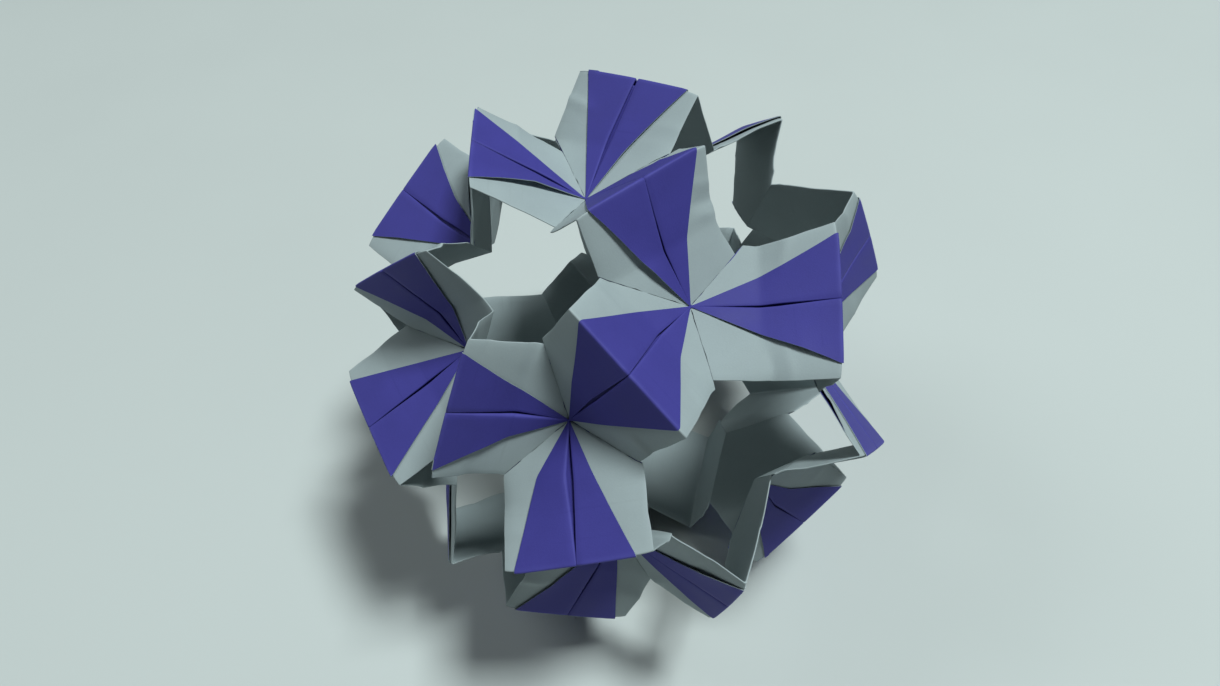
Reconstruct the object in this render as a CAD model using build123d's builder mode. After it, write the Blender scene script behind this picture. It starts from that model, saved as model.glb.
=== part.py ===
from build123d import *
import os

# Hollow ball of thirty folded paper units, one for each edge of a dodecahedron.
# Every unit is a flattened paper tube, creased over an outer ridge into two wings.
# Three wings meet at each sunken corner, where a tab of each slips into the next one's pocket.

# Sizes of the ball, in millimetres
edge_length = 26.0          # between neighbouring corners of an even ball
ridge_height = 17.5         # of a ridge above the middle of its edge

# Sizes of a folded unit, in millimetres
strip_width = 25.0          # half of the square sheet, after its sides are folded to the middle
lapel_width = 21.5          # coloured flaps, measured across the pair on the ridge
slit_width = 0.5            # between the two folded halves of the front
layer = 0.2                 # one layer of paper
pocket_gap = 0.4            # room between front and back for the neighbour's tab
lapel_lift = 0.15           # air under a flap that is folded back
valley_clearance = 0.2      # between two wings along the valley where they meet
band_width = 3.0            # pressed strip that a tab grows from
overrun = 4.0               # how far a cut or a raw length runs past its trimming plane

# Places along a valley, as shares of its length from the sunken corner
tab_start_share = 0.25
tab_end_share = 0.85
tab_tip_share = 0.55
tab_depth_share = 0.35      # reach of a tab into the pocket
tab_tip_width_share = 0.12

# How far the corners of this hand-folded ball stray from the even places, as shares of the edge
corner_shift_shares = [
    (0.00, 0.10, 0.05),
    (0.05, -0.15, 0.05),
    (0.20, 0.05, -0.10),
    (-0.05, -0.10, 0.00),
    (-0.10, 0.00, 0.10),
    (-0.05, -0.05, -0.05),
    (0.05, 0.00, 0.00),
    (0.00, -0.05, -0.20),
    (0.10, -0.05, 0.10),
    (0.10, 0.00, -0.05),
    (-0.10, 0.20, -0.05),
    (0.05, 0.05, 0.05),
    (-0.05, -0.05, 0.00),
    (-0.10, -0.20, 0.15),
    (0.00, 0.00, 0.05),
    (-0.10, 0.15, -0.15),
    (-0.05, 0.00, 0.10),
    (0.05, 0.10, -0.10),
    (-0.05, 0.05, -0.05),
    (0.05, -0.05, 0.05),
]

# Corner that faces the front, and the ridges that the ball stands on, each with the side that touches
front_corner = 0
standing_ends = [(7, 17, -1), (11, 17, -1), (3, 17, 1)]

golden = (1 + 5**0.5) / 2
sleeve_depth = layer + pocket_gap + layer
lapel_rise = lapel_lift + layer
tab_depth = layer + (pocket_gap - layer) / 2


def even_corners():
    # The twenty corners of a dodecahedron, from a cube and three golden rectangles
    signs = (-1, 1)
    places = [(x, y, z) for x in signs for y in signs for z in signs]
    for a in signs:
        for b in signs:
            places.append((0, a / golden, b * golden))
            places.append((a / golden, b * golden, 0))
            places.append((a * golden, 0, b / golden))
    return [Vector(*place) * (edge_length * golden / 2) for place in places]


def neighbour_pairs(places):
    # The next distance between two corners is a whole face diagonal, golden times the edge
    pairs = []
    for first in range(len(places)):
        for second in range(first + 1, len(places)):
            if (places[second] - places[first]).length < edge_length * golden - edge_length / golden / 2:
                pairs.append((first, second))
    return pairs


def ridge(places, middle, first, second):
    # Centre and direction of the ridge over the edge between two corners
    centre = (places[first] + places[second]) / 2
    out = (centre - middle).normalized()
    along = out.cross(places[second] - places[first]).normalized()
    return centre + out * ridge_height, along


def wing_axes(places, middle, first, second):
    # A wing's plane: its origin at the first corner, y up its middle to the ridge, z outwards
    centre, along = ridge(places, middle, first, second)
    rise = (centre - places[first]).normalized()
    return Plane(origin=places[first], x_dir=along * -1, z_dir=rise.cross(along))


def ridge_ends(places, middle, first, second):
    # Both ends of a ridge, each as the end of the paper and the top of the flap beside it
    centre, along = ridge(places, middle, first, second)
    near = wing_axes(places, middle, first, second).z_dir
    far = wing_axes(places, middle, second, first).z_dir
    crest = (near + far).normalized()
    crest = crest * (lapel_rise / crest.dot(near))
    ends = {}
    for side in (-1, 1):
        paper_end = centre + along * (side * strip_width / 2)
        flap_top = centre + crest + along * (side * lapel_width / 2)
        ends[side] = (paper_end, flap_top)
    return ends


def stood_up(places, pairs):
    # Turns the ball to stand on three flap tops, over the origin, with its front corner at -Y
    still = Vector(0, 0, 0)
    feet = [ridge_ends(places, still, first, second)[side][1] for first, second, side in standing_ends]
    up = (feet[1] - feet[0]).cross(feet[2] - feet[0]).normalized()
    if up.dot(feet[0]) > 0:
        up = up * -1
    front = places[front_corner] - up * places[front_corner].dot(up)
    stand = Plane(origin=still, x_dir=up.cross(front), z_dir=up)
    turned = [stand.to_local_coords(place) for place in places]
    points = []
    for first, second in pairs:
        for end in ridge_ends(turned, still, first, second).values():
            points.extend(end)
    middle_x = (min(p.X for p in points) + max(p.X for p in points)) / 2
    middle_y = (min(p.Y for p in points) + max(p.Y for p in points)) / 2
    middle = Vector(-middle_x, -middle_y, -min(p.Z for p in points))
    return [place + middle for place in turned], middle


even = even_corners()
edges = neighbour_pairs(even)
strayed = []
for place, shares in zip(even, corner_shift_shares):
    strayed.append(place + Vector(*shares) * edge_length)
corners, ball_middle = stood_up(strayed, edges)

neighbours = {corner: [] for corner in range(len(corners))}
for first, second in edges:
    neighbours[first].append(second)
    neighbours[second].append(first)

wing_planes = {}
for first, second in edges:
    wing_planes[first, second] = wing_axes(corners, ball_middle, first, second)
    wing_planes[second, first] = wing_axes(corners, ball_middle, second, first)


def valleys(corner, end):
    # The two valleys of a wing: direction, the plane halfway to the next wing, and that wing's plane
    own = wing_planes[corner, end]
    found = {}
    for other in neighbours[corner]:
        if other != end:
            next_wing = wing_planes[corner, other]
            run = own.z_dir.cross(next_wing.z_dir).normalized()
            if run.dot(own.y_dir) < 0:
                run = run * -1
            halfway = Plane(origin=own.origin, x_dir=run, z_dir=own.z_dir - next_wing.z_dir)
            found[run.dot(own.x_dir) > 0] = (run, halfway, next_wing)
    return found


def tab(corner, end):
    # Pressed band along one valley of a wing, and the tab that turns from it into the next wing's pocket
    own = wing_planes[corner, end]
    run, halfway, next_wing = valleys(corner, end)[True]
    length = strip_width / 2 / max(run.dot(own.x_dir), -run.dot(next_wing.x_dir))
    start = length * tab_start_share
    stop = length * tab_end_share
    tip = length * tab_tip_share
    half_tip = length * tab_tip_width_share / 2
    reach = length * tab_depth_share
    own_side = Plane(origin=own.origin, x_dir=run, z_dir=own.z_dir)
    next_side = Plane(origin=own.origin, x_dir=run, z_dir=next_wing.z_dir)
    with BuildPart() as heel:
        with BuildSketch(own_side.offset(-tab_depth)):
            with Locations((start, -overrun)):
                Rectangle(stop - start, overrun + band_width, align=(Align.MIN, Align.MIN))
        extrude(amount=-layer)
        split(bisect_by=halfway, keep=Keep.BOTTOM)
        with BuildSketch(own_side.offset(-layer)):
            with Locations((start, layer)):
                Rectangle(stop - start, band_width - layer, align=(Align.MIN, Align.MIN))
        extrude(amount=-pocket_gap)
    with BuildPart() as blade:
        with BuildSketch(next_side.offset(-tab_depth)):
            with BuildLine():
                Polyline(
                    (start, overrun),
                    (stop, overrun),
                    (stop, 0),
                    (tip + half_tip, -reach),
                    (tip - half_tip, -reach),
                    (start, 0),
                    close=True,
                )
            make_face()
        extrude(amount=-layer)
        split(bisect_by=halfway, keep=Keep.TOP)
    return heel.part, blade.part


def wing(corner, end):
    # One half of a unit, from a sunken corner up to the ridge
    own = wing_planes[corner, end]
    far = wing_planes[end, corner]
    centre, along = ridge(corners, ball_middle, corner, end)
    length = (centre - own.origin).length
    section = Plane(origin=own.origin - own.y_dir * overrun, x_dir=own.x_dir, z_dir=own.y_dir)
    with BuildPart() as half:
        with BuildSketch(section):
            with Locations((0, sleeve_depth / 2)):
                Rectangle(strip_width, sleeve_depth)
                Rectangle(strip_width - 2 * layer, pocket_gap, mode=Mode.SUBTRACT)
            with Locations((0, layer / 2)):
                Rectangle(slit_width, layer, mode=Mode.SUBTRACT)
            for side in (-1, 1):
                with Locations((side * (slit_width + layer) / 2, -lapel_rise / 2)):
                    Rectangle(layer, lapel_rise)
        extrude(amount=length + 2 * overrun)
        with BuildSketch(own.offset(lapel_lift)):
            for side in (-1, 1):
                with BuildLine():
                    Polyline(
                        (side * slit_width / 2, 0),
                        (side * slit_width / 2, length + overrun),
                        (side * lapel_width / 2, length + overrun),
                        (side * lapel_width / 2, length),
                        close=True,
                    )
                make_face()
        extrude(amount=layer)
        split(bisect_by=Plane(origin=centre, x_dir=along, z_dir=far.z_dir - own.z_dir), keep=Keep.BOTTOM)
        for run, halfway, next_wing in valleys(corner, end).values():
            split(bisect_by=halfway.offset(-valley_clearance / 2), keep=Keep.BOTTOM)
    return half.part


os.makedirs("parts", exist_ok=True)
for number, (first, second) in enumerate(edges, start=1):
    with BuildPart() as folded_unit:
        add(wing(first, second))
        add(wing(second, first))
        add(tab(first, second))
        add(tab(second, first))
    name = f"folded_unit_{number:02d}"
    folded_unit.part.label = name
    export_step(folded_unit.part, f"parts/{name}.step")
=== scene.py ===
import bmesh
import bpy
import math
import random
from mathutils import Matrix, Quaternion, Vector, noise


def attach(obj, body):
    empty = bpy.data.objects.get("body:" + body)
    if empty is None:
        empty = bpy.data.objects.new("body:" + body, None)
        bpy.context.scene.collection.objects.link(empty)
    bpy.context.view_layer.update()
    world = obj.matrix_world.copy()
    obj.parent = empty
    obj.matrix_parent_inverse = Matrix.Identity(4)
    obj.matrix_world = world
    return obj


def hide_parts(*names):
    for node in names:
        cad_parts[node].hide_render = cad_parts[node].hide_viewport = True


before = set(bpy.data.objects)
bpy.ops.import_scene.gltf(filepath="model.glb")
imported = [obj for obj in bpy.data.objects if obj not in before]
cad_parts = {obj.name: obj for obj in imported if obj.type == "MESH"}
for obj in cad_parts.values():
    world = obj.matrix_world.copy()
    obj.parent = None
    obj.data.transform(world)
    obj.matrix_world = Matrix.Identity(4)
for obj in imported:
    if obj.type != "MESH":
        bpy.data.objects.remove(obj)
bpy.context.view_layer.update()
print("frame loaded:", len(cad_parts), "folded units")

# The ball: thirty folded units over the edges of a dodecahedron, in metres
ball = {
    "edge": 0.026,              # between neighbouring corners of an even ball
    "ridgeHeight": 0.0175,      # of a ridge above the middle of its edge
    "stripWidth": 0.025,        # of a folded unit
    "lapelWidth": 0.0215,       # coloured flaps, across the pair on the ridge
    "lapelRise": 0.00035,       # top of a flap above its wing
    "frontCorner": 0,
    "standingEnds": [(7, 17, -1), (11, 17, -1), (3, 17, 1)],
    "cornerShiftShares": [      # hand-folded corners stray from the even places, as shares of the edge
        (0.00, 0.10, 0.05), (0.05, -0.15, 0.05), (0.20, 0.05, -0.10), (-0.05, -0.10, 0.00),
        (-0.10, 0.00, 0.10), (-0.05, -0.05, -0.05), (0.05, 0.00, 0.00), (0.00, -0.05, -0.20),
        (0.10, -0.05, 0.10), (0.10, 0.00, -0.05), (-0.10, 0.20, -0.05), (0.05, 0.05, 0.05),
        (-0.05, -0.05, 0.00), (-0.10, -0.20, 0.15), (0.00, 0.00, 0.05), (-0.10, 0.15, -0.15),
        (-0.05, 0.00, 0.10), (0.05, 0.10, -0.10), (-0.05, 0.05, -0.05), (0.05, -0.05, 0.05),
    ],
}
golden = (1 + 5**0.5) / 2
stripHalf = ball["stripWidth"] / 2
flapHalf = ball["lapelWidth"] / 2


def evenCorners():
    signs = (-1, 1)
    places = [(x, y, z) for x in signs for y in signs for z in signs]
    for a in signs:
        for b in signs:
            places.append((0, a / golden, b * golden))
            places.append((a / golden, b * golden, 0))
            places.append((a * golden, 0, b / golden))
    return [Vector(place) * (ball["edge"] * golden / 2) for place in places]


def neighbourPairs(places):
    # the next distance between two corners is a face diagonal, golden times the edge
    reach = ball["edge"] * (golden - 1 / golden / 2)
    pairs = []
    for first in range(len(places)):
        for second in range(first + 1, len(places)):
            if (places[second] - places[first]).length < reach:
                pairs.append((first, second))
    return pairs


def ridgeLine(places, middle, first, second):
    # centre and direction of the ridge over an edge
    centre = (places[first] + places[second]) / 2
    out = (centre - middle).normalized()
    along = out.cross(places[second] - places[first]).normalized()
    return centre + out * ball["ridgeHeight"], along


def wingAxes(places, middle, first, second):
    # a wing's own axes: x across, y up its middle to the ridge, z outwards
    centre, along = ridgeLine(places, middle, first, second)
    rise = (centre - places[first]).normalized()
    return {"origin": places[first], "x": -along, "y": rise, "z": rise.cross(along), "centre": centre}


def ridgeEnds(places, middle, first, second):
    # both ends of a ridge, each as the end of the paper and the top of the flap beside it
    centre, along = ridgeLine(places, middle, first, second)
    near = wingAxes(places, middle, first, second)["z"]
    crest = (near + wingAxes(places, middle, second, first)["z"]).normalized()
    crest = crest * (ball["lapelRise"] / crest.dot(near))
    ends = {}
    for side in (-1, 1):
        paperEnd = centre + along * (side * stripHalf)
        flapTop = centre + crest + along * (side * flapHalf)
        ends[side] = (paperEnd, flapTop)
    return ends


def standUp(places, pairs):
    # the ball stands on three flap tops, over the origin, with its front corner at -Y
    still = Vector((0, 0, 0))
    feet = []
    for first, second, side in ball["standingEnds"]:
        feet.append(ridgeEnds(places, still, first, second)[side][1])
    up = (feet[1] - feet[0]).cross(feet[2] - feet[0]).normalized()
    if up.dot(feet[0]) > 0:
        up = -up
    facing = places[ball["frontCorner"]]
    right = up.cross(facing - up * facing.dot(up)).normalized()
    rear = up.cross(right)
    turned = [Vector((place.dot(right), place.dot(rear), place.dot(up))) for place in places]
    points = []
    for first, second in pairs:
        for end in ridgeEnds(turned, still, first, second).values():
            points.extend(end)
    middle = Vector((
        -(min(p.x for p in points) + max(p.x for p in points)) / 2,
        -(min(p.y for p in points) + max(p.y for p in points)) / 2,
        -min(p.z for p in points)))
    return [place + middle for place in turned], middle


even = evenCorners()
unitPairs = neighbourPairs(even)
strayed = []
for place, shares in zip(even, ball["cornerShiftShares"]):
    strayed.append(place + Vector(shares) * ball["edge"])
corners, ballMiddle = standUp(strayed, unitPairs)

neighbours = {corner: [] for corner in range(len(corners))}
wings = {}
for first, second in unitPairs:
    neighbours[first].append(second)
    neighbours[second].append(first)
    wings[first, second] = wingAxes(corners, ballMiddle, first, second)
    wings[second, first] = wingAxes(corners, ballMiddle, second, first)
for (corner, end), wing in wings.items():
    far = wings[end, corner]["z"]
    wing["length"] = (wing["centre"] - wing["origin"]).length
    wing["mitre"] = (1 - wing["z"].dot(far)) / wing["y"].dot(far)
print("layout:", len(corners), "corners,", len(unitPairs), "units")

# How the paper of each wing is bent, in metres unless a share; sides are -1 and 1 across the wing
paperPlay = {
    "seed": 7,
    "crease": (0.40, 0.48),             # crease across the wing, as a share of its length
    "bulge": (-0.0004, 0.0007),         # of the crease, outwards
    "roll": (-0.01, 0.06),              # slope of the triangle below the crease, across the wing
    "slitOpen": (0.00008, 0.00030),     # half gap of the slit at its widest
    "slitPeak": (0.38, 0.55),           # where that is, as a share of the wing
    "slitRidge": (0.00005, 0.00014),    # half gap at the ridge
    "slitLift": (0.0, 0.0002),
    "borderLift": (0.0, 0.0004),        # raw border of a lapel off the white paper
    "borderPeak": (0.35, 0.7),
    "borderRidge": (0.00004, 0.00018),
    "borderCurve": 1.5,                 # of a lapel down to its border
    "puff": (-0.2, 0.5),                # swelling of the sleeve, as a share of its depth
    "valleyGap": (0.00001, 0.00006),    # half gap along a valley
    "bow": 0.00016,                     # slow unevenness of the sheet and its size
    "bowSize": 0.011,
    "backApart": 3,                     # between the places of front and back in the noise, in bow sizes
    "noisePlace": (0, 50),              # each wing's own place in the noise, in bow sizes
    "ridgeHold": 4,                     # how fast the sheet grows loose, down from the ridge
    "cornerHold": 0.4,                  # how loose it is at the sunken corner, and how fast that grows
    "cornerGrowth": 1.2,
    "ripple": 0.00003,
    "rippleSize": 0.003,
    "dentPlace": (0.44, 0.80),          # soft creases pressed across the margins, as shares of the wing
    "dentSlant": (-0.12, 0.12),
    "dentReach": (0.5, 1.0),            # from where to where across, as shares of the half width
    "dentDepth": (-0.00020, 0.00040),
    "dentWidth": 0.0009,
    "dentStart": 0.2,                   # share of the depth at the inner end, and how fast it grows
    "dentGrowth": 2,
    "marginFold": (-0.00045, 0.00045),  # rise of a margin where it is bent above the crease
    "marginPlace": (0.25, 0.60),        # where that is, as a share of the panel above the crease
    "marginStart": 0.35,                # inner limit of the margin, as a share of the half width
    "edgeWander": 0.00030,              # of the side folds, and its size
    "wanderSize": 0.005,
    "wanderApart": 7.0,                 # each side's own place in the noise, in wander sizes
    "sidePower": 6,                     # keeps what moves a side fold near it
    "flapReach": (0.95, 1.0),           # of a lapel on the ridge, as a share of its place
    "flapShoulder": 0.99,               # where a lapel has its full width, as a share of the wing
}
cornerPush = {                          # sunken corners pressed out of place by hand
    0: (0.0, -0.0021, 0.0011),
    4: (0.0015, -0.0013, -0.0006),
    8: (-0.0002, -0.0017, -0.0004),
    9: (0.0007, -0.0015, -0.0005),
    10: (-0.0013, -0.0006, -0.0014),
    13: (0.0016, 0.0007, 0.0017),
    15: (-0.0010, -0.0006, 0.0016),
}
# Wings that show most; a shift moves an end of the crease across, up and outwards
bentByHand = {
    (0, 8): {"crease": 0.45, "shift": {-1: (0.0002, 0, -0.0001), 1: (-0.0009, 0, 0.0004)},
             "marginFold": {-1: 0.0001, 1: -0.0007}, "marginPlace": {-1: 0.40, 1: 0.40},
             "pinch": {-1: 0, 1: 0.0011},
             "slitOpen": 0.00022, "slitPeak": 0.45,
             "borderLift": {-1: 0.0010, 1: 0.00005}, "borderPeak": {-1: 0.36, 1: 0.5},
             "dents": [((0.55, 0.80), (1.0, 0.74), 0.00030), ((0.50, 0.66), (1.0, 0.62), -0.00026),
                       ((0.62, 0.56), (0.95, 0.50), 0.00030)]},
    (0, 10): {"crease": 0.48, "shift": {-1: (0.0012, 0.0004, -0.0026), 1: (0.0002, 0.0006, 0.0002)},
              "marginFold": {-1: 0.0005, 1: -0.0009}, "marginPlace": {-1: 0.30, 1: 0.20},
              "pinch": {-1: 0.0018, 1: 0}, "puff": {-1: -0.8, 1: 0.2},
              "slitOpen": 0.00026, "slitPeak": 0.6,
              "borderLift": {-1: 0.00005, 1: 0.0006}, "borderPeak": {-1: 0.5, 1: 0.72},
              "dents": [((-0.45, 0.60), (-1.0, 0.66), 0.00034), ((0.50, 0.52), (1.0, 0.60), -0.00030),
                        ((0.55, 0.64), (1.0, 0.70), 0.00036)]},
    (0, 9): {"crease": 0.45, "shift": {-1: (0, 0, -0.0002), 1: (-0.0003, 0, -0.0003)},
             "slitOpen": 0.00020, "slitPeak": 0.5, "borderLift": {-1: 0.0001, 1: 0.0003}},
    (9, 1): {"crease": 0.42, "shift": {-1: (0, -0.0002, -0.0004), 1: (-0.0009, -0.0010, -0.0006)},
             "slitOpen": 0.00060, "slitPeak": 0.45, "slitLift": {-1: 0.0001, 1: 0.0006},
             "borderLift": {-1: 0.0001, 1: 0.0001}, "borderKink": {-1: -0.0004, 1: 0.0014},
             "flapReach": {-1: 0.91, 1: 0.99}},
    (9, 15): {"shift": {-1: (0.0002, 0, -0.0005), 1: (0.0002, 0, 0)},
              "slitOpen": 0.00020, "slitRidge": 0.00012, "slitLift": {-1: 0.0005, 1: 0.0},
              "borderLift": {-1: 0.0006, 1: 0.0002}, "borderPeak": {-1: 0.6, 1: 0.5}},
    (9, 0): {"shift": {-1: (0.0013, 0.0001, -0.0006), 1: (0.0001, 0, 0.0007)},
             "slitOpen": 0.00036, "slitPeak": 0.5, "slitRidge": 0.00012},
    (10, 13): {"shift": {-1: (0, 0, -0.0022), 1: (0, 0, -0.0022)}},
    (13, 10): {"shift": {-1: (0, 0, -0.0022), 1: (0, 0, -0.0022)}},
    (15, 5): {"roll": 0.020, "bulge": 0.0003, "crease": 0.41, "slitOpen": 0.00030, "slitPeak": 0.42,
              "borderLift": {-1: 0.0001, 1: 0.0002}},
    (15, 4): {"crease": 0.44, "shift": {-1: (0.0003, -0.0003, -0.0015), 1: (0.0006, -0.0002, -0.0004)},
              "slitOpen": 0.00045, "slitPeak": 0.32, "borderLift": {-1: 0.0003, 1: 0.0002}},
    (15, 9): {"shift": {-1: (0.0004, -0.0005, -0.0015), 1: (0.0003, -0.0004, -0.0006)}},
    (4, 16): {"roll": 0.030, "slitOpen": 0.00040, "slitPeak": 0.30, "borderLift": {-1: 0.0003, 1: 0.0004}},
    (8, 4): {"crease": 0.44, "shift": {-1: (-0.0004, -0.0007, 0), 1: (-0.0006, -0.0003, -0.0001)},
             "slitOpen": 0.00045, "slitPeak": 0.32,
             "borderLift": {-1: 0.0011, 1: 0.0001}, "borderPeak": {-1: 0.45, 1: 0.5}},
    (8, 14): {"crease": 0.42, "shift": {-1: (0, 0, -0.0022), 1: (0, 0, 0)},
              "slitOpen": 0.00034, "slitPeak": 0.5, "slitRidge": 0.00034},
    (8, 0): {"shift": {-1: (0, 0, -0.0001), 1: (0, 0, -0.0017)}},
}
chance = random.Random(paperPlay["seed"])


def play(name):
    low, high = paperPlay[name]
    return chance.uniform(low, high)


def bothSides(name):
    return {side: play(name) for side in (-1, 1)}


def wingBend(corner, end):
    bend = {name: play(name) for name in ("crease", "bulge", "roll", "slitOpen", "slitPeak")}
    for name in ("slitLift", "borderLift", "borderPeak", "puff", "valleyGap"):
        bend[name] = bothSides(name)
    bend["noisePlace"] = play("noisePlace")
    bend["dents"] = []
    inner, outer = paperPlay["dentReach"]
    for side in (-1, 1, -1, 1):
        start = play("dentPlace")
        stop = start + play("dentSlant")
        bend["dents"].append(((side * inner, start), (side * outer, stop), play("dentDepth")))
    for name in ("marginFold", "marginPlace"):
        bend[name] = bothSides(name)
    bend["borderKink"] = {-1: 0.0, 1: 0.0}
    bend["pinch"] = {-1: 0.0, 1: 0.0}           # side fold drawn in at the crease
    bend.update(bentByHand.get((corner, end), {}))
    if "shift" not in bend:
        bend["shift"] = {}
        for side in (-1, 1):
            bend["shift"][side] = (0, 0, bend["bulge"] + side * bend["roll"] * stripHalf)
    return bend


for (corner, end), wing in wings.items():
    bend = wingBend(corner, end)
    wing["bend"] = bend
    wing["push"] = Vector(cornerPush.get(corner, (0, 0, 0)))
    shifts = {}
    for side, (across, up, out) in bend["shift"].items():
        shifts[side] = wing["x"] * across + wing["y"] * up + wing["z"] * out
    wing["creaseMove"] = (shifts[1] + shifts[-1]) / 2
    wing["creaseTurn"] = (shifts[1] - shifts[-1]) / (2 * stripHalf)
    crease = wing["y"] * (bend["crease"] * wing["length"]) + wing["creaseMove"] - wing["push"]
    wing["lowZ"] = (wing["x"] + wing["creaseTurn"]).cross(crease).normalized()
for (corner, end), wing in wings.items():
    wing["valleys"] = {}
    for other in neighbours[corner]:
        if other != end:
            nextZ = wings[corner, other]["lowZ"]
            run = wing["lowZ"].cross(nextZ).normalized()
            if run.dot(wing["y"]) < 0:
                run = -run
            side = 1 if run.dot(wing["x"]) > 0 else -1
            normal = (wing["lowZ"] - nextZ).normalized()
            wing["valleys"][side] = {"run": run, "normal": normal, "other": other}
print("wings bent:", len(wings), "of them", len(bentByHand), "by hand")


def clearSelection():
    if bpy.context.object and bpy.context.object.mode != "OBJECT":
        bpy.ops.object.mode_set(mode="OBJECT")
    bpy.ops.object.select_all(action="DESELECT")


def makeActive(piece):
    clearSelection()
    piece.select_set(True)
    bpy.context.view_layer.objects.active = piece


def turnOver(piece):
    makeActive(piece)
    bpy.ops.object.mode_set(mode="EDIT")
    bpy.ops.mesh.select_all(action="SELECT")
    bpy.ops.mesh.flip_normals()
    bpy.ops.object.mode_set(mode="OBJECT")


# One wing of the folded sheet: back panel, side folds, front halves, folds at the slit, lapels
sheet = {
    "rows": 44,
    "rowStart": -0.20,          # rows run from below the sunken corner to the ridge, as shares of the wing
    "creaseShare": 0.44,
    "backColumns": 16,
    "frontColumns": 12,
    "lapelColumns": 9,
    "foldSteps": 4,
    "sleeveDepth": 0.00060,     # between front and back in the middle of the strip
    "sideRadius": 0.00011,      # of the sharp folds at the sides
    "sideFall": 0.00022,        # of the front towards its side folds
    "fallShare": 0.72,          # where that begins, as a share of the half width
    "lapelHeight": 0.00022,
    "lapelStart": 0.5,          # of that height at the sunken corner
    "lapelBed": 0.00004,        # air under a lapel that lies flat
    "lapelLeast": 0.00004,      # width of a lapel where it begins
    "paper": 0.00011,
    "ridgeRound": 0.00030,
    "ridgeSteps": 4,
    "ridgeRow": 0.999,          # rows past this share of the wing lie on the ridge
    "pickGap": 0.00004,         # how near an edge has to lie to be picked
    "joinGap": 0.000002,        # points nearer than this are joined
    "smoothAngle": 50,          # degrees
}
sheetFields = ("zone", "share", "along", "across")      # kept for each point of the flat sheet
mapMiddle = 0.5                                         # of the sheet's map, both ways
back, sideFold, front, slitFold, lapel = range(5)       # zones of the sheet, from its middle outwards


def sheetProfile():
    # section of one half, from the edge of the back panel to the raw edge of the lapel
    rim = stripHalf - sheet["sideRadius"]
    fold = sheet["lapelHeight"] / 2
    points = []
    for step in range(1, sheet["foldSteps"] + 1):
        share = step / sheet["foldSteps"]
        points.append((rim + sheet["sideRadius"] * math.sin(math.pi * share),
                       -sheet["sideRadius"] * (1 + math.cos(math.pi * share)), sideFold, share))
    for step in range(1, sheet["frontColumns"] + 1):
        share = step / sheet["frontColumns"]
        points.append((rim + (fold - rim) * share, 0, front, share))
    for step in range(1, sheet["foldSteps"] + 1):
        share = step / sheet["foldSteps"]
        points.append((fold - fold * math.sin(math.pi * share),
                       fold * (1 - math.cos(math.pi * share)), slitFold, share))
    for step in range(1, sheet["lapelColumns"] + 1):
        share = step / sheet["lapelColumns"]
        points.append((fold + (flapHalf - fold) * share, 2 * fold, lapel, share))
    return points


def makeSheet():
    clearSelection()
    backWidth = 2 * (stripHalf - sheet["sideRadius"])
    backDepth = 2 * sheet["sideRadius"]
    span = 1 - sheet["rowStart"]
    bpy.ops.mesh.primitive_grid_add(
        x_subdivisions=sheet["backColumns"], y_subdivisions=sheet["rows"], size=1, enter_editmode=True)
    piece = bpy.context.object
    piece.name = "foldedSheet"
    bpy.ops.mesh.select_all(action="SELECT")
    bpy.ops.transform.resize(value=(backWidth, span, 1))
    bpy.ops.transform.translate(value=(0, 1 - span / 2, -backDepth))
    mesh = piece.data
    work = bmesh.from_edit_mesh(mesh)
    for name in sheetFields:
        work.verts.layers.float.new(name)
    across = work.verts.layers.float["across"]
    along = work.verts.layers.float["along"]
    for vertex in work.verts:
        vertex[across] = vertex.co.x
        vertex[along] = vertex.co.y
    bmesh.update_edit_mesh(mesh)
    for side in (-1, 1):
        bpy.ops.mesh.select_all(action="DESELECT")
        work = bmesh.from_edit_mesh(mesh)
        for vertex in work.verts:
            vertex.select_set(abs(vertex.co.x - side * backWidth / 2) < sheet["pickGap"])
        work.select_flush_mode()
        bmesh.update_edit_mesh(mesh)
        spot = (backWidth / 2, -backDepth)
        reach = backWidth / 2
        for x, z, zone, share in sheetProfile():
            move = (side * (x - spot[0]), 0, z - spot[1])
            bpy.ops.mesh.extrude_edges_move(TRANSFORM_OT_translate={"value": move})
            reach += math.hypot(x - spot[0], z - spot[1])
            spot = (x, z)
            work = bmesh.from_edit_mesh(mesh)
            layers = work.verts.layers.float
            for vertex in work.verts:
                if vertex.select:
                    vertex[layers["zone"]] = zone
                    vertex[layers["share"]] = share
                    vertex[layers["across"]] = side * reach
            bmesh.update_edit_mesh(mesh)
    bpy.ops.mesh.select_all(action="SELECT")
    bpy.ops.mesh.normals_make_consistent(inside=False)
    bpy.ops.object.mode_set(mode="OBJECT")
    return piece


master = makeSheet()
backFace = min(master.data.polygons, key=lambda face: face.center.z)
if backFace.normal.z > 0:       # the white side of the back panel looks into the ball
    turnOver(master)
sheetWidth = 2 * max(value.value for value in master.data.attributes["across"].data)
master.data.uv_layers.new(name="sheet")
print("sheet modelled:", len(master.data.polygons), "faces,", len(master.data.vertices), "points")


def clamp(value):
    return min(1.0, max(0.0, value))


def tent(share, top):
    return share / top if share < top else (1 - share) / (1 - top)


def pastShare(x, start):
    # nought up to a share of the half width, then growing to one at the side fold
    return clamp((abs(x) / stripHalf - start) / (1 - start))


def frontDrop(x):
    return sheet["sideFall"] * pastShare(x, sheet["fallShare"]) ** 2


def backDrop(x, puff):
    edge = sheet["sideFall"] + 2 * sheet["sideRadius"]
    near = clamp(abs(x) / stripHalf) ** 2
    return sheet["sleeveDepth"] * (1 + puff) * (1 - near) + edge * near


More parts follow.
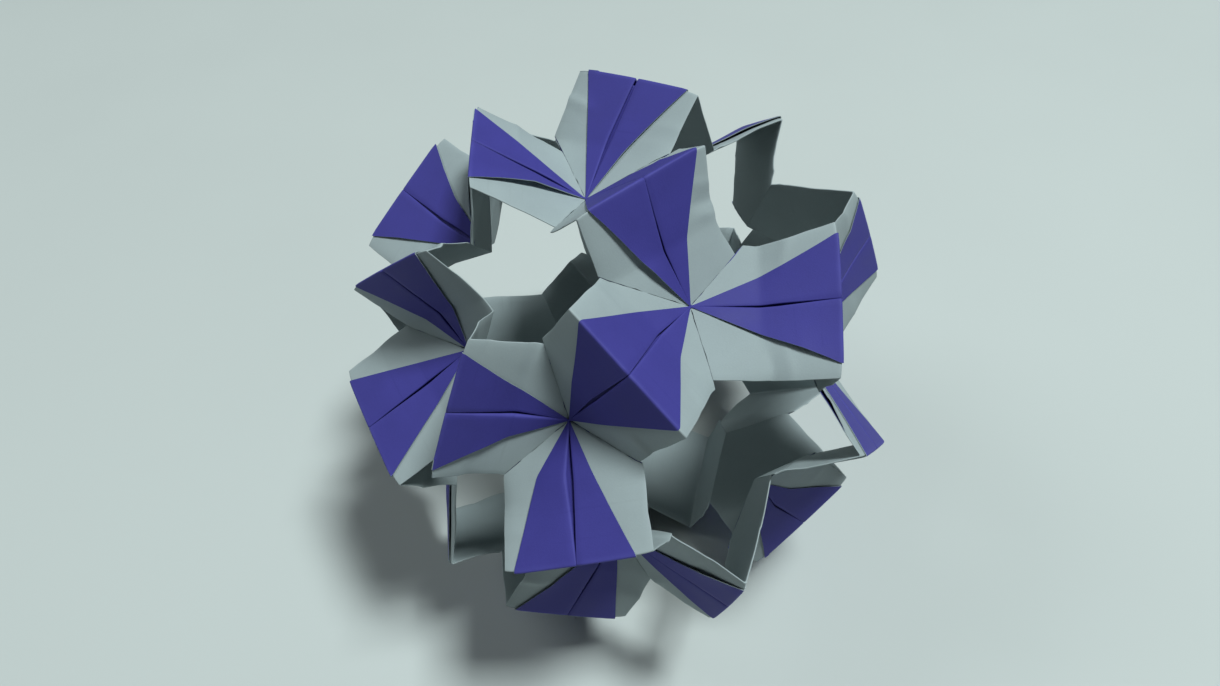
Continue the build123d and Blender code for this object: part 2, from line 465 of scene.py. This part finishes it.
def dentDepth(x, t, dents, length):
    # soft creases pressed across a margin, each from one place to another
    depth = 0.0
    for (x0, t0), (x1, t1), rise in dents:
        start = Vector((x0 * stripHalf, t0 * length))
        line = Vector((x1 * stripHalf, t1 * length)) - start
        place = Vector((x, t * length)) - start
        share = clamp(place.dot(line) / line.length_squared)
        away = (place - line * share).length / paperPlay["dentWidth"]
        grown = clamp(paperPlay["dentGrowth"] * share + paperPlay["dentStart"])
        depth += rise * math.exp(-away) * grown
    return depth


def marginRise(x, t, side, bend):
    # a margin bent once across, between the crease of the wing and its ridge
    share = (t - bend["crease"]) / (1 - bend["crease"])
    if not 0 < share < 1:
        return 0.0
    wide = pastShare(x, paperPlay["marginStart"])
    return bend["marginFold"][side] * wide * tent(share, bend["marginPlace"][side])


def fitWing(piece, wing, ridge, mirrored):
    # lays a copy of the sheet into the wing's place and bends it
    bend = wing["bend"]
    length = wing["length"]
    attributes = piece.data.attributes
    stored = {name: attributes[name].data for name in sheetFields}
    rim = stripHalf - sheet["sideRadius"]
    for vertex in piece.data.vertices:
        zone = round(stored["zone"][vertex.index].value)
        share = stored["share"][vertex.index].value
        row = stored["along"][vertex.index].value
        side = 1 if stored["across"][vertex.index].value >= 0 else -1
        flap = -side if mirrored else side
        x = vertex.co.x
        if row < sheet["creaseShare"]:
            t = row * bend["crease"] / sheet["creaseShare"]
        else:
            t = 1 - (1 - row) * (1 - bend["crease"]) / (1 - sheet["creaseShare"])
        grown = clamp(t)
        slitShare = max(0, tent(t, bend["slitPeak"]))
        creaseShare = max(0, tent(t, bend["crease"]))
        lift = bend["slitLift"][side] * slitShare
        lapelGrown = sheet["lapelStart"] + (1 - sheet["lapelStart"]) * grown
        fold = (sheet["lapelHeight"] * lapelGrown + lift) / 2
        slitHalf = fold + ridge["slit"] * grown + bend["slitOpen"] * slitShare
        if zone == back:
            z = -backDrop(x, bend["puff"][side] * math.sin(math.pi * grown))
        elif zone == sideFold:
            z = -sheet["sideFall"] - sheet["sideRadius"] * (1 + math.cos(math.pi * share))
        elif zone == front:
            x = side * (rim + (slitHalf - rim) * share)
            z = -frontDrop(x)
        elif zone == slitFold:
            x = side * (slitHalf - fold * math.sin(math.pi * share))
            z = fold * (1 - math.cos(math.pi * share))
        else:
            reach = flapHalf * ridge["reach"][flap] * min(1, grown / paperPlay["flapShoulder"])
            reach += bend["borderKink"][side] * creaseShare
            x = side * (slitHalf + max(reach - slitHalf, sheet["lapelLeast"]) * share)
            border = sheet["lapelBed"] + ridge["border"][flap] * grown
            border += bend["borderLift"][side] * max(0, tent(t, bend["borderPeak"][side]))
            z = 2 * fold + (border - 2 * fold) * share ** paperPlay["borderCurve"] - frontDrop(x)
            z += max(0, dentDepth(x, t, bend["dents"], length) + marginRise(x, t, side, bend))
        noiseZ = bend["noisePlace"] * paperPlay["bowSize"]
        if zone in (back, sideFold):
            noiseZ += paperPlay["backApart"] * paperPlay["bowSize"]
        place = Vector((x, t * length, noiseZ))
        ridgeLoose = paperPlay["ridgeHold"] * (1 - grown)
        cornerLoose = paperPlay["cornerHold"] + paperPlay["cornerGrowth"] * grown
        loose = min(1, ridgeLoose, cornerLoose)
        z += loose * paperPlay["bow"] * noise.noise(place / paperPlay["bowSize"])
        z += loose * paperPlay["ripple"] * noise.noise(place / paperPlay["rippleSize"])
        outer = clamp(abs(x) / stripHalf) ** paperPlay["sidePower"]
        if zone in (back, sideFold, front):
            z += dentDepth(x, t, bend["dents"], length) * (outer if zone == back else 1)
            z += marginRise(x, t, side, bend)
            sidePlace = side * paperPlay["wanderApart"] * paperPlay["wanderSize"]
            wander = Vector((t * length, sidePlace, place.z)) / paperPlay["wanderSize"]
            x += loose * outer * paperPlay["edgeWander"] * noise.noise(wander)
            x -= side * outer * bend["pinch"][side] * creaseShare
        fade = 1 if t < bend["crease"] else max(0, 1 - t) / (1 - bend["crease"])
        moved = wing["creaseMove"] * tent(t, bend["crease"]) + wing["creaseTurn"] * (x * fade)
        moved += wing["push"] * max(0, 1 - t / bend["crease"])
        y = t * length + grown * z * wing["mitre"]
        vertex.co = wing["origin"] + moved + wing["x"] * x + wing["y"] * y + wing["z"] * z
    uvLayer = piece.data.uv_layers["sheet"].data
    for loop in piece.data.loops:
        row = stored["along"][loop.vertex_index].value / 2
        across = stored["across"][loop.vertex_index].value / sheetWidth
        uvLayer[loop.index].uv = (mapMiddle - across, 1 - row) if mirrored else (mapMiddle + across, row)


def cutValleys(piece, wing):
    makeActive(piece)
    bpy.ops.object.mode_set(mode="EDIT")
    for side, valley in wing["valleys"].items():
        bpy.ops.mesh.select_all(action="SELECT")
        bpy.ops.mesh.bisect(
            plane_co=wing["origin"] + wing["push"] - valley["normal"] * wing["bend"]["valleyGap"][side],
            plane_no=valley["normal"], use_fill=False, clear_inner=False, clear_outer=True)
    bpy.ops.object.mode_set(mode="OBJECT")


# Tab that grows from a pressed band along one valley and slips into the next wing's pocket
tabSheet = {
    "startShare": 0.25,         # along the valley, from the sunken corner
    "stopShare": 0.75,
    "tipShare": 0.55,
    "tipWidthShare": 0.12,
    "reachShare": 0.35,         # into the pocket, as a share of the valley
    "band": 0.003,
    "columns": 8,
    "rows": 6,
}


def makeTab(corner, end):
    wing = wings[corner, end]
    valley = wing["valleys"][1]
    nextWing = wings[corner, valley["other"]]
    run = valley["run"]
    length = stripHalf / max(run.dot(wing["x"]), -run.dot(nextWing["x"]))
    halfway = (wing["lowZ"] + nextWing["lowZ"]).normalized()
    sunk = halfway * (-sheet["sleeveDepth"] / 2 / halfway.dot(wing["lowZ"]))
    clearSelection()
    bpy.ops.mesh.primitive_grid_add(
        x_subdivisions=tabSheet["columns"], y_subdivisions=tabSheet["rows"], size=2)
    piece = bpy.context.object
    for vertex in piece.data.vertices:
        u = vertex.co.x
        v = vertex.co.y
        middle = (tabSheet["startShare"] + tabSheet["stopShare"]) / 2
        wide = (tabSheet["stopShare"] - tabSheet["startShare"]) / 2
        if v > 0:
            middle += (tabSheet["tipShare"] - middle) * v
            wide += (tabSheet["tipWidthShare"] / 2 - wide) * v
            inward = nextWing["lowZ"].cross(run) * (-tabSheet["reachShare"] * length * v)
        else:
            inward = wing["lowZ"].cross(run) * (-tabSheet["band"] * v)
        vertex.co = wing["origin"] + wing["push"] + sunk + run * (length * (middle + wide * u)) + inward
    piece.data.update()
    if piece.data.polygons[0].normal.dot(halfway) < 0:      # white side outwards
        turnOver(piece)
    return piece


def makeUnit(number, first, second):
    ridge = {"slit": play("slitRidge"), "border": bothSides("borderRidge"), "reach": bothSides("flapReach")}
    for pair, sign in (((first, second), 1), ((second, first), -1)):
        byHand = bentByHand.get(pair, {})
        ridge["slit"] = byHand.get("slitRidge", ridge["slit"])
        for side, reach in byHand.get("flapReach", {}).items():
            ridge["reach"][side * sign] = reach
    halves = []
    for corner, end in ((first, second), (second, first)):
        piece = master.copy()
        piece.data = master.data.copy()
        bpy.context.scene.collection.objects.link(piece)
        fitWing(piece, wings[corner, end], ridge, corner == second)
        cutValleys(piece, wings[corner, end])
        halves.append(piece)
    tabs = [makeTab(first, second), makeTab(second, first)]
    makeActive(halves[0])
    for piece in halves + tabs:
        piece.select_set(True)
    bpy.ops.object.join()
    unit = bpy.context.object
    unit.name = f"paper_unit_{number:02d}"
    unit.data.name = unit.name
    bpy.ops.object.mode_set(mode="EDIT")
    bpy.ops.mesh.select_all(action="SELECT")
    bpy.ops.mesh.remove_doubles(threshold=sheet["joinGap"])
    bpy.ops.mesh.select_mode(type="EDGE")
    bpy.ops.mesh.select_all(action="DESELECT")
    work = bmesh.from_edit_mesh(unit.data)
    along = work.verts.layers.float["along"]
    for edge in work.edges:
        edge.select_set(all(vertex[along] > sheet["ridgeRow"] for vertex in edge.verts))
    bmesh.update_edit_mesh(unit.data)
    bpy.ops.mesh.bevel(offset=sheet["ridgeRound"], segments=sheet["ridgeSteps"], affect="EDGES")
    bpy.ops.mesh.select_mode(type="VERT")
    bpy.ops.object.mode_set(mode="OBJECT")
    unit.data.materials.clear()
    unit.data.materials.append(whitePaper)
    unit.data.materials.append(violetPaper)
    solidify = unit.modifiers.new("paper", "SOLIDIFY")
    solidify.thickness = sheet["paper"]
    solidify.offset = -1
    solidify.material_offset = 1
    solidify.material_offset_rim = 0
    bpy.ops.object.modifier_apply(modifier=solidify.name)
    bpy.ops.object.shade_smooth_by_angle(angle=math.radians(sheet["smoothAngle"]))
    node = f"folded_unit_{number:02d}"
    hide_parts(node)
    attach(unit, "root")
    return unit


# Node groups shared by the papers and the floor
def newGroup(name, inputs, outputs):
    group = bpy.data.node_groups.new(name, "ShaderNodeTree")
    for label, kind, value in inputs:
        socket = group.interface.new_socket(label, in_out="INPUT", socket_type=kind)
        if value is not None:
            socket.default_value = value
    for label in outputs:
        group.interface.new_socket(label, in_out="OUTPUT", socket_type="NodeSocketFloat")
    start = group.nodes.new("NodeGroupInput")
    stop = group.nodes.new("NodeGroupOutput")
    return group, start, stop


def addMath(tree, operation, first, second=None):
    node = tree.nodes.new("ShaderNodeMath")
    node.operation = operation
    for socket, value in zip(node.inputs, (first, second)):
        if isinstance(value, (int, float)):
            socket.default_value = value
        elif value is not None:
            tree.links.new(value, socket)
    return node.outputs[0]


def addNoise(tree, place, scale, detail, roughness):
    node = tree.nodes.new("ShaderNodeTexNoise")
    node.inputs["Detail"].default_value = detail
    node.inputs["Roughness"].default_value = roughness
    tree.links.new(place, node.inputs["Vector"])
    tree.links.new(scale, node.inputs["Scale"])
    return node.outputs["Fac"]


# Soft clouds in the pulp and fine fibres; scales are for one metre, heights are shares
pulp = {
    "cloudScale": 160.0,
    "cloudDetail": 4,
    "cloudRough": 0.55,
    "cloudHeight": 0.35,
    "fibreScale": 4200.0,
    "fibreDetail": 2,
    "fibreRough": 0.6,
    "fibreHeight": 0.65,
    "noiseRange": (0.25, 0.75),     # where most values of a noise lie
}


def makeGrainGroup():
    group, start, stop = newGroup(
        "paperGrain",
        [("Place", "NodeSocketVector", None), ("Cloud Scale", "NodeSocketFloat", pulp["cloudScale"]),
         ("Fibre Scale", "NodeSocketFloat", pulp["fibreScale"])],
        ["Cloud", "Fibre", "Height"])
    place = start.outputs["Place"]
    cloud = addNoise(group, place, start.outputs["Cloud Scale"], pulp["cloudDetail"], pulp["cloudRough"])
    fibre = addNoise(group, place, start.outputs["Fibre Scale"], pulp["fibreDetail"], pulp["fibreRough"])
    cloudHeight = addMath(group, "MULTIPLY", cloud, pulp["cloudHeight"])
    fibreHeight = addMath(group, "MULTIPLY", fibre, pulp["fibreHeight"])
    height = addMath(group, "ADD", cloudHeight, fibreHeight)
    for label, value in (("Cloud", cloud), ("Fibre", fibre), ("Height", height)):
        group.links.new(value, stop.inputs[label])
    return group


def addBand(tree, value, middle, width):
    # one on a line of the sheet, falling to nought beside it
    away = addMath(tree, "ABSOLUTE", addMath(tree, "SUBTRACT", value, middle))
    band = tree.nodes.new("ShaderNodeMapRange")
    band.interpolation_type = "SMOOTHSTEP"
    band.inputs["From Min"].default_value = 0
    band.inputs["From Max"].default_value = width
    band.inputs["To Min"].default_value = 1
    band.inputs["To Max"].default_value = 0
    tree.links.new(away, band.inputs["Value"])
    return band.outputs["Result"]


# Lines where the sheet was folded, on the flat sheet: shares from its middle
foldLines = {
    "sideShare": stripHalf / sheetWidth,
    "slitShare": 2 * stripHalf / sheetWidth,
    "creaseShare": (1 - sheet["creaseShare"]) / 2,
    "oldCreases": [0.075, 0.165, 0.215],        # faint cross creases, from the ridge
    "foldWidth": 0.010,
    "ridgeWidth": 0.022,
    "oldWidth": 0.006,
}


def makeFoldGroup():
    # masks of the folds, read from the sheet's own map; they place the wear and painted highlight on the
    # folds and the painted shade along the creases
    group, start, stop = newGroup(
        "foldLineMasks", [("Sheet Place", "NodeSocketVector", None)], ["Ridge", "Folds", "Crease", "Old Creases"])
    parts = group.nodes.new("ShaderNodeSeparateXYZ")
    group.links.new(start.outputs["Sheet Place"], parts.inputs[0])
    across = addMath(group, "ABSOLUTE", addMath(group, "SUBTRACT", parts.outputs["X"], mapMiddle))
    along = addMath(group, "ABSOLUTE", addMath(group, "SUBTRACT", parts.outputs["Y"], mapMiddle))
    ridge = addBand(group, along, 0.0, foldLines["ridgeWidth"])
    sides = addBand(group, across, foldLines["sideShare"], foldLines["foldWidth"])
    slit = addBand(group, across, foldLines["slitShare"], foldLines["foldWidth"])
    crease = addBand(group, along, foldLines["creaseShare"], foldLines["foldWidth"])
    old = None
    for share in foldLines["oldCreases"]:
        band = addBand(group, along, share, foldLines["oldWidth"])
        old = band if old is None else addMath(group, "MAXIMUM", old, band)
    group.links.new(ridge, stop.inputs["Ridge"])
    group.links.new(addMath(group, "MAXIMUM", sides, slit), stop.inputs["Folds"])
    group.links.new(crease, stop.inputs["Crease"])
    group.links.new(old, stop.inputs["Old Creases"])
    return group


def addMix(tree, amount, first, second):
    node = tree.nodes.new("ShaderNodeMix")
    node.data_type = "RGBA"
    tree.links.new(amount, node.inputs["Factor"])
    for socket, value in ((node.inputs["A"], first), (node.inputs["B"], second)):
        if isinstance(value, tuple):
            socket.default_value = (*value, 1)
        else:
            tree.links.new(value, socket)
    return node.outputs["Result"]


def addRange(tree, value, low, high):
    node = tree.nodes.new("ShaderNodeMapRange")
    node.inputs["From Min"].default_value = pulp["noiseRange"][0]
    node.inputs["From Max"].default_value = pulp["noiseRange"][1]
    node.inputs["To Min"].default_value = low
    node.inputs["To Max"].default_value = high
    tree.links.new(value, node.inputs["Value"])
    return node.outputs["Result"]


def newMaterial(name):
    material = bpy.data.materials.new(name)
    material.use_nodes = True
    return material, material.node_tree, material.node_tree.nodes["Principled BSDF"]


def placeGroup(tree, group, place):
    node = tree.nodes.new("ShaderNodeGroup")
    node.node_tree = group
    tree.links.new(place, node.inputs[0])
    return node


grainGroup = makeGrainGroup()
foldGroup = makeFoldGroup()


def makePaper(look):
    material, tree, shader = newMaterial(look["name"])
    place = tree.nodes.new("ShaderNodeTexCoord").outputs["Object"]
    sheetMap = tree.nodes.new("ShaderNodeUVMap")
    sheetMap.uv_map = "sheet"
    grain = placeGroup(tree, grainGroup, place)
    folds = placeGroup(tree, foldGroup, sheetMap.outputs["UV"])
    colour = addMix(tree, addRange(tree, grain.outputs["Cloud"], 0, 1), look["shade"], look["colour"])
    fleck = addMath(tree, "MULTIPLY", addRange(tree, grain.outputs["Fibre"], 0, 1), look["fibreMix"])
    colour = addMix(tree, fleck, colour, look["fibre"])
    # Folds lighter along the ridge, sides and slit: partly wear of the paper, partly a painted highlight on
    # the folds
    wearHighlightMask = addMath(tree, "MAXIMUM", folds.outputs["Ridge"], folds.outputs["Folds"])
    wearHighlightMask = addMath(tree, "MULTIPLY", wearHighlightMask, addRange(tree, grain.outputs["Cloud"], *look["wearHighlightRange"]))
    colour = addMix(tree, wearHighlightMask, colour, look["wearHighlightColour"])
    # Crease lines darker in patches: painted shade in the creases; the same mask presses them in through the
    # bump
    creaseShadeMask = addMath(tree, "MAXIMUM", folds.outputs["Crease"], folds.outputs["Old Creases"])
    creaseShadeMask = addMath(tree, "MULTIPLY", creaseShadeMask, addRange(tree, grain.outputs["Cloud"], *look["creaseShadeRange"]))
    colour = addMix(tree, creaseShadeMask, colour, look["creased"])
    tree.links.new(colour, shader.inputs["Base Color"])
    tree.links.new(addRange(tree, grain.outputs["Cloud"], *look["rough"]), shader.inputs["Roughness"])
    shader.inputs["Specular IOR Level"].default_value = look["sheen"]
    grainHeight = addMath(tree, "MULTIPLY", grain.outputs["Height"], look["grainHeight"])
    creaseHeight = addMath(tree, "MULTIPLY", creaseShadeMask, look["creaseHeight"])
    height = addMath(tree, "ADD", grainHeight, creaseHeight)
    bump = tree.nodes.new("ShaderNodeBump")
    bump.inputs["Strength"].default_value = look["bump"]
    bump.inputs["Distance"].default_value = look["bumpDistance"]
    tree.links.new(height, bump.inputs["Height"])
    tree.links.new(bump.outputs["Normal"], shader.inputs["Normal"])
    return material


whitePaper = makePaper({
    "name": "whitePaper",
    "colour": (0.368, 0.422, 0.434), "shade": (0.336, 0.385, 0.397),
    "fibre": (0.420, 0.478, 0.490), "fibreMix": 0.25,
    # lighter colour on the folds: partly wear, partly painted highlight
    "wearHighlightColour": (0.436, 0.493, 0.505), "wearHighlightRange": (0.1, 0.5),
    # darker colour along the crease lines: painted shade
    "creased": (0.305, 0.345, 0.352), "creaseShadeRange": (-0.3, 0.35),
    "rough": (0.66, 0.80), "sheen": 0.25, "grainHeight": 1.0, "creaseHeight": -0.6,
    "bump": 0.3, "bumpDistance": 0.0001,
})
violetPaper = makePaper({
    "name": "violetPaper",
    "colour": (0.057, 0.049, 0.286), "shade": (0.049, 0.042, 0.247),
    "fibre": (0.064, 0.060, 0.325), "fibreMix": 0.35,
    # lighter colour on the folds: partly wear, partly painted highlight
    "wearHighlightColour": (0.105, 0.100, 0.42), "wearHighlightRange": (0.05, 0.45),
    # darker colour along the crease lines: painted shade
    "creased": (0.038, 0.035, 0.21), "creaseShadeRange": (-0.3, 0.35),
    "rough": (0.60, 0.72), "sheen": 0.26, "grainHeight": 1.0, "creaseHeight": -0.6,
    "bump": 0.3, "bumpDistance": 0.0001,
})
print("papers ready")

units = [makeUnit(number, first, second) for number, (first, second) in enumerate(unitPairs, start=1)]
bpy.data.objects.remove(master)
print("units folded:", len(units), "with", sum(len(unit.data.polygons) for unit in units), "faces")

# Floor, light and camera
studio = {
    "floorSize": 6,
    "floorDrop": 0.00005,
    "floorColour": (0.575, 0.603, 0.589),
    "floorShade": (0.562, 0.589, 0.576),
    "floorRough": (0.55, 0.70),
    "floorCloudScale": 9.0,
    "floorFibreScale": 900.0,
    "worldColour": (0.86, 0.93, 0.95),
    "worldStrength": 0.02,
    "lamps": [
        # name, azimuth from +Y towards +X, elevation, distance, size, watts
        ("behindLamp", -30, 45, 2.0, 0.9, 8.5),
        ("rightLamp", 131, 70, 2.0, 0.42, 40.0),
    ],
    "lampColour": (0.89, 1.0, 1.0),
}
camera = {
    "aim": (-0.00158, 0.00072, 0.04668),
    "distance": 0.17155,
    "azimuth": 35.97,           # of the line of sight, from +Y towards +X
    "elevation": 51.37,
    "roll": 4.16,
    "lens": 25.59,
    "sensor": 36,
    "clipStart": 0.005,
}


def heading(azimuth, elevation):
    around = math.radians(azimuth)
    upward = math.radians(elevation)
    flat = math.cos(upward)
    return Vector((math.sin(around) * flat, math.cos(around) * flat, math.sin(upward)))


def makeFloorPaint():
    material, tree, shader = newMaterial("floorPaint")
    place = tree.nodes.new("ShaderNodeTexCoord").outputs["Object"]
    grain = placeGroup(tree, grainGroup, place)
    grain.inputs["Cloud Scale"].default_value = studio["floorCloudScale"]
    grain.inputs["Fibre Scale"].default_value = studio["floorFibreScale"]
    cloud = addRange(tree, grain.outputs["Cloud"], 0, 1)
    colour = addMix(tree, cloud, studio["floorShade"], studio["floorColour"])
    tree.links.new(colour, shader.inputs["Base Color"])
    rough = addRange(tree, grain.outputs["Cloud"], *studio["floorRough"])
    tree.links.new(rough, shader.inputs["Roughness"])
    return material


clearSelection()
bpy.ops.mesh.primitive_plane_add(size=studio["floorSize"], location=(0, 0, -studio["floorDrop"]))
floor = bpy.context.object
floor.name = "floor"
floor.data.materials.append(makeFloorPaint())

world = bpy.data.worlds.new("studio")
world.use_nodes = True
world.node_tree.nodes["Background"].inputs["Color"].default_value = (*studio["worldColour"], 1)
world.node_tree.nodes["Background"].inputs["Strength"].default_value = studio["worldStrength"]
bpy.context.scene.world = world

for name, azimuth, elevation, distance, size, watts in studio["lamps"]:
    direction = heading(azimuth, elevation)
    bpy.ops.object.light_add(type="AREA", location=ballMiddle + direction * distance)
    lamp = bpy.context.object
    lamp.name = name
    lamp.data.size = size
    lamp.data.energy = watts
    lamp.data.color = studio["lampColour"]
    lamp.rotation_euler = direction.to_track_quat("Z", "Y").to_euler()

sight = heading(camera["azimuth"], -camera["elevation"])
bpy.ops.object.camera_add(location=Vector(camera["aim"]) - sight * camera["distance"])
eye = bpy.context.object
turn = Quaternion((0, 0, 1), math.radians(-camera["roll"]))
eye.rotation_euler = (sight.to_track_quat("-Z", "Y") @ turn).to_euler()
eye.data.sensor_width = camera["sensor"]
eye.data.lens = camera["lens"]
eye.data.clip_start = camera["clipStart"]
bpy.context.scene.camera = eye
bpy.context.scene.view_settings.view_transform = "Standard"
print("studio ready")
